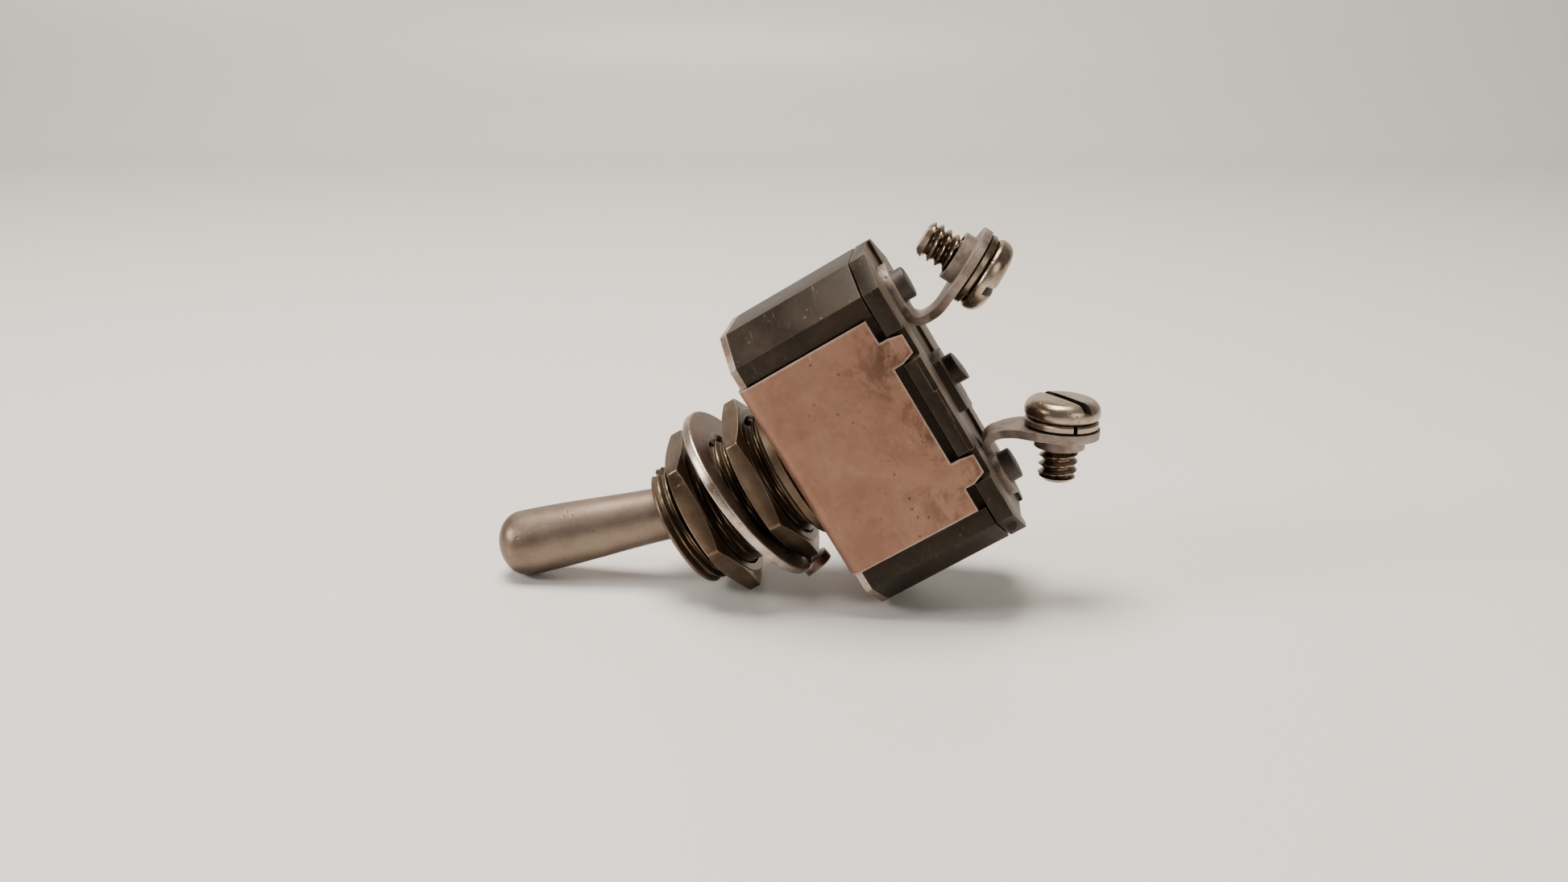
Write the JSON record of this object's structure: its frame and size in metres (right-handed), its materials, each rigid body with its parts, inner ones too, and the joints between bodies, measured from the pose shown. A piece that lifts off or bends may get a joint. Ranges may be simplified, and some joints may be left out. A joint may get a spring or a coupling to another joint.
{
  "type": "toggle switch",
  "caption": "Bushing-mounted bat-lever toggle switch with a steel-framed black case, hex nuts, locking ring and screw terminals.",
  "frame": {"origin": "on the bushing axis at the top of its shoulder, where the panel side hardware starts", "axes": "+Z along the bushing towards the lever tip, X along the case's long side, in the lever's throw plane, Y across the case's width"},
  "size_m": [0.0284, 0.0182, 0.0559],
  "materials": {
    "steel": "satin, warm tint",
    "phenolic": "moulded phenolic",
    "nickel": "satin nickel plate",
    "tinned": "rough tin plate",
    "brass": "satin",
    "silver": "satin",
    "black_rivet": "blackened",
    "fibre": "matt"
  },
  "bodies": {
    "housing": {"case": "phenolic", "insulator_sheet": "fibre", "base": "phenolic", "frame": "steel", "bushing": "nickel", "pivot_pin": "nickel", "fulcrum_bracket": "brass", "rocker_pin": "nickel", "stop_pad": "fibre", "contact_strip": "brass", "fixed_contact": "silver", "terminal_rivet_left": "black_rivet", "terminal_rivet_right": "black_rivet", "terminal_left": "tinned", "terminal_right": "tinned"},
    "lever": {"lever": "nickel", "plunger_spring": "nickel"},
    "plunger": {"plunger": "fibre"},
    "rocker": {"rocker": "brass", "moving_contact": "silver"},
    "rear_nut": {"rear_nut": "nickel"},
    "front_nut": {"front_nut": "nickel"},
    "locking_ring": {"locking_ring": "nickel"},
    "screw_left": {"terminal_screw_left": "nickel", "split_washer_left": "nickel"},
    "screw_right": {"terminal_screw_right": "nickel", "split_washer_right": "nickel"}
  },
  "joints": [
    {"name": "lever_throw", "type": "hinge", "parent": "housing", "child": "lever", "pos_m": [0, 0, 0.00625], "axis": [0, 1, 0], "range_deg": [-34, 0]},
    {"name": "plunger_slide", "type": "slide", "parent": "lever", "child": "plunger", "axis": [0.2924, 0, 0.9563], "range_m": [0, 0.0008], "stiffness_N_per_m": 500, "springref_m": -0.002, "deforming": ["plunger_spring"]},
    {"name": "rocker_throw", "type": "hinge", "parent": "housing", "child": "rocker", "pos_m": [0, 0, -0.0095], "axis": [0, 1, 0], "range_deg": [0, 21]},
    {"name": "rear_nut_turn", "type": "hinge", "parent": "housing", "child": "rear_nut", "pos_m": [0, 0, 0.00235], "axis": [0, 0, 1], "continuous": true},
    {"name": "front_nut_turn", "type": "hinge", "parent": "housing", "child": "front_nut", "pos_m": [0, 0, 0.00851], "axis": [0, 0, 1], "continuous": true},
    {"name": "locking_ring_slide", "type": "slide", "parent": "housing", "child": "locking_ring", "axis": [0, 0, 1], "range_m": [0, 0.0004]},
    {"name": "screw_left_turn", "type": "hinge", "parent": "housing", "child": "screw_left", "pos_m": [0.00839, 0, -0.02323], "axis": [-0.887, 0, -0.4617], "continuous": true},
    {"name": "screw_right_turn", "type": "hinge", "parent": "housing", "child": "screw_right", "pos_m": [-0.00905, 0, -0.02296], "axis": [0.8339, 0, -0.5519], "continuous": true}
  ],
  "couplings": [
    {"joint": "rocker_throw", "follows": "lever_throw", "ratio": -0.6176}
  ]
}
